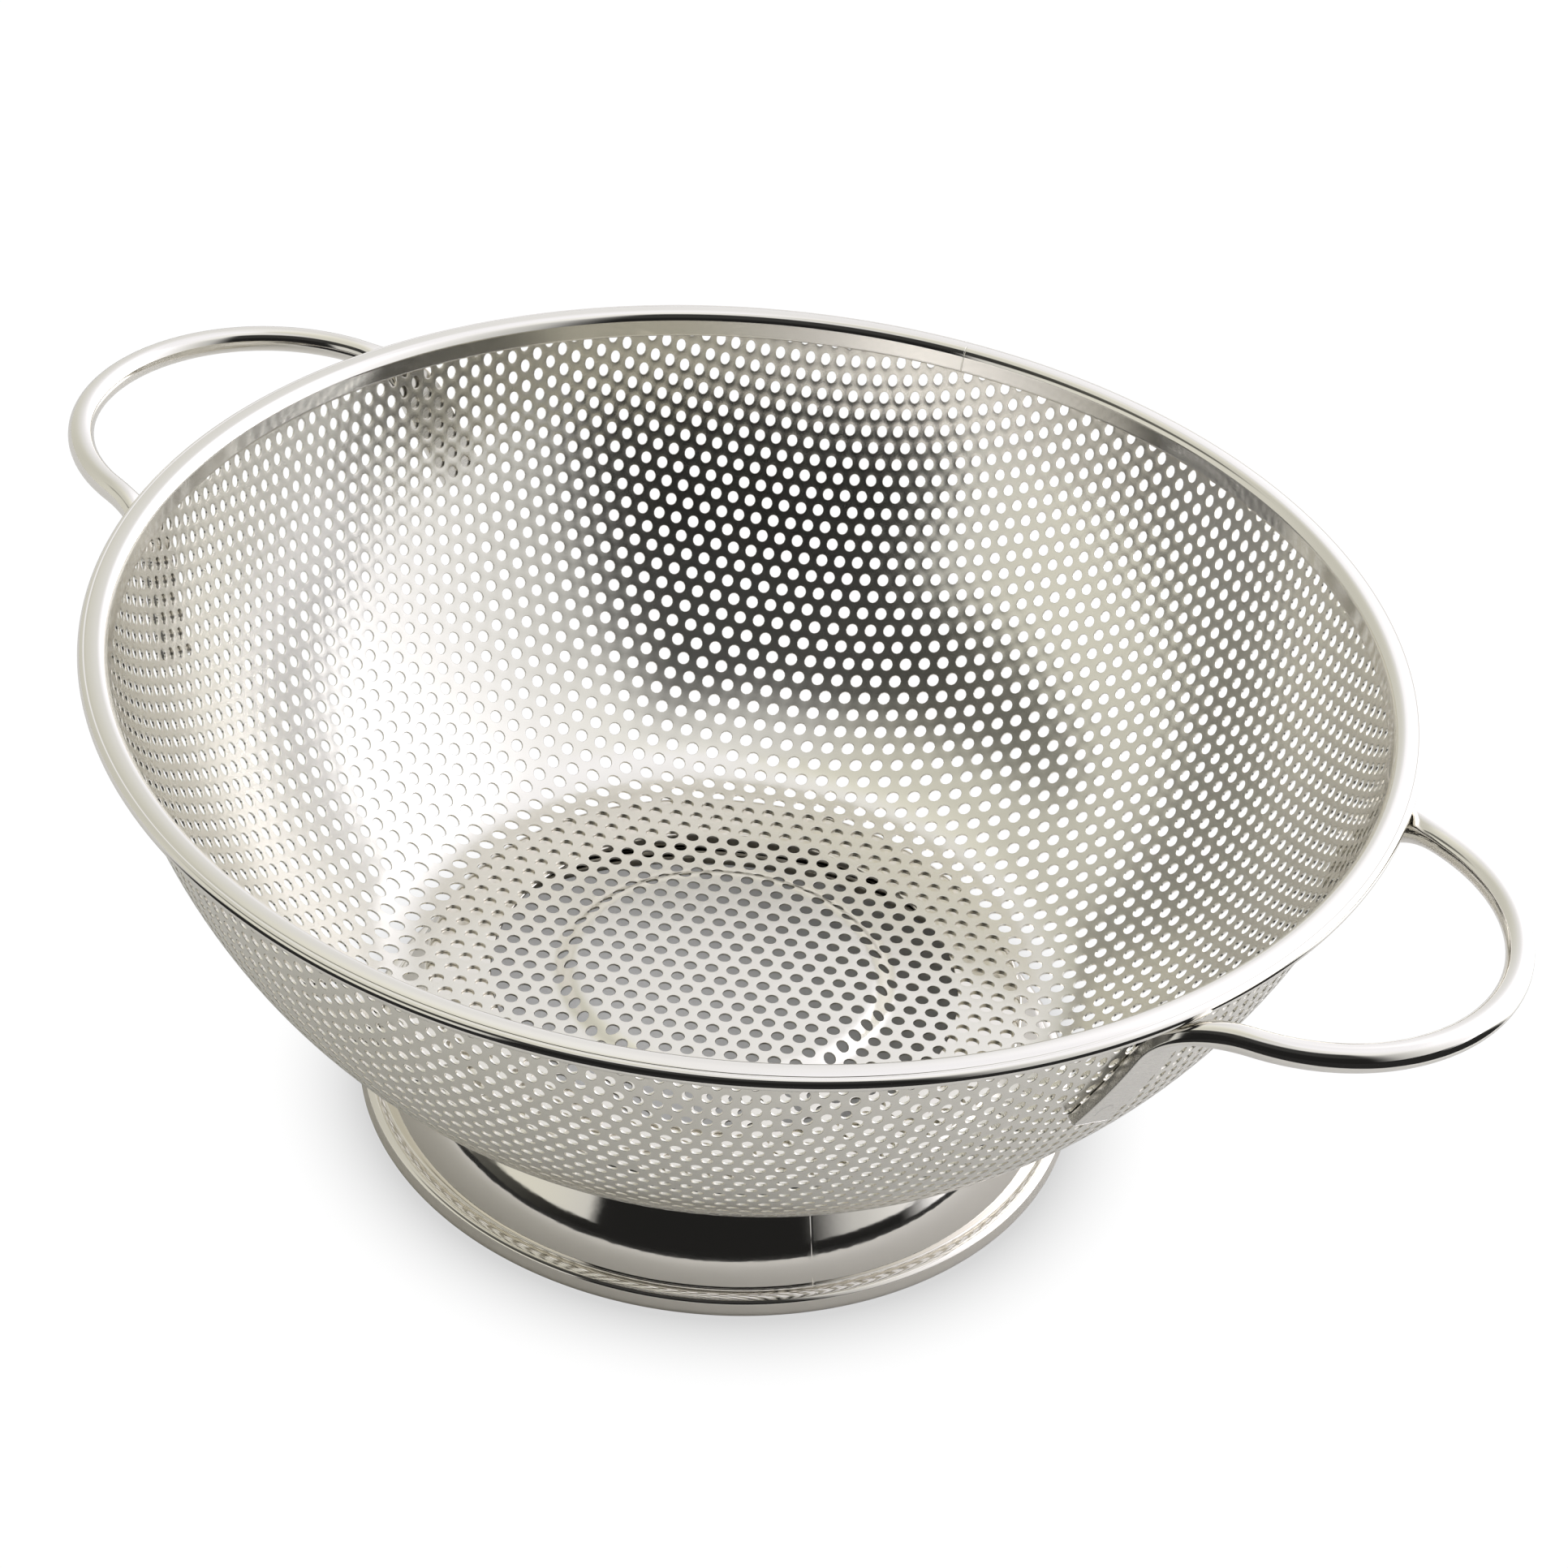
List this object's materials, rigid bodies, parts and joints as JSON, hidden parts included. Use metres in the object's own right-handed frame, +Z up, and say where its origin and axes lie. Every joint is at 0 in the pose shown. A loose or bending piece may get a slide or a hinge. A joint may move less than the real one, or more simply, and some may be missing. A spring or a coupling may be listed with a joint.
{
  "type": "colander",
  "caption": "Free-standing round colander of perforated stainless steel with a folded rim, a flared ring foot and bent rod loop handles.",
  "frame": {"origin": "middle of the circle that the foot stands on", "axes": "+Z up through the bowl's axis, X through both handles, handle_right on +X"},
  "size_m": [0.3738, 0.295, 0.1252],
  "materials": {
    "perforated_sheet": "satin drawn stainless steel sheet, punched before drawing",
    "rim_strip": "polished folded stainless steel strip",
    "foot_sheet": "polished rolled stainless steel sheet",
    "handle_rod": "polished stainless steel rod, brushed on its flattened straps"
  },
  "bodies": {
    "root": {"bowl": "perforated_sheet", "rim_band": "rim_strip", "foot_ring": "foot_sheet", "handle_left": "handle_rod", "handle_right": "handle_rod"}
  },
  "joints": []
}
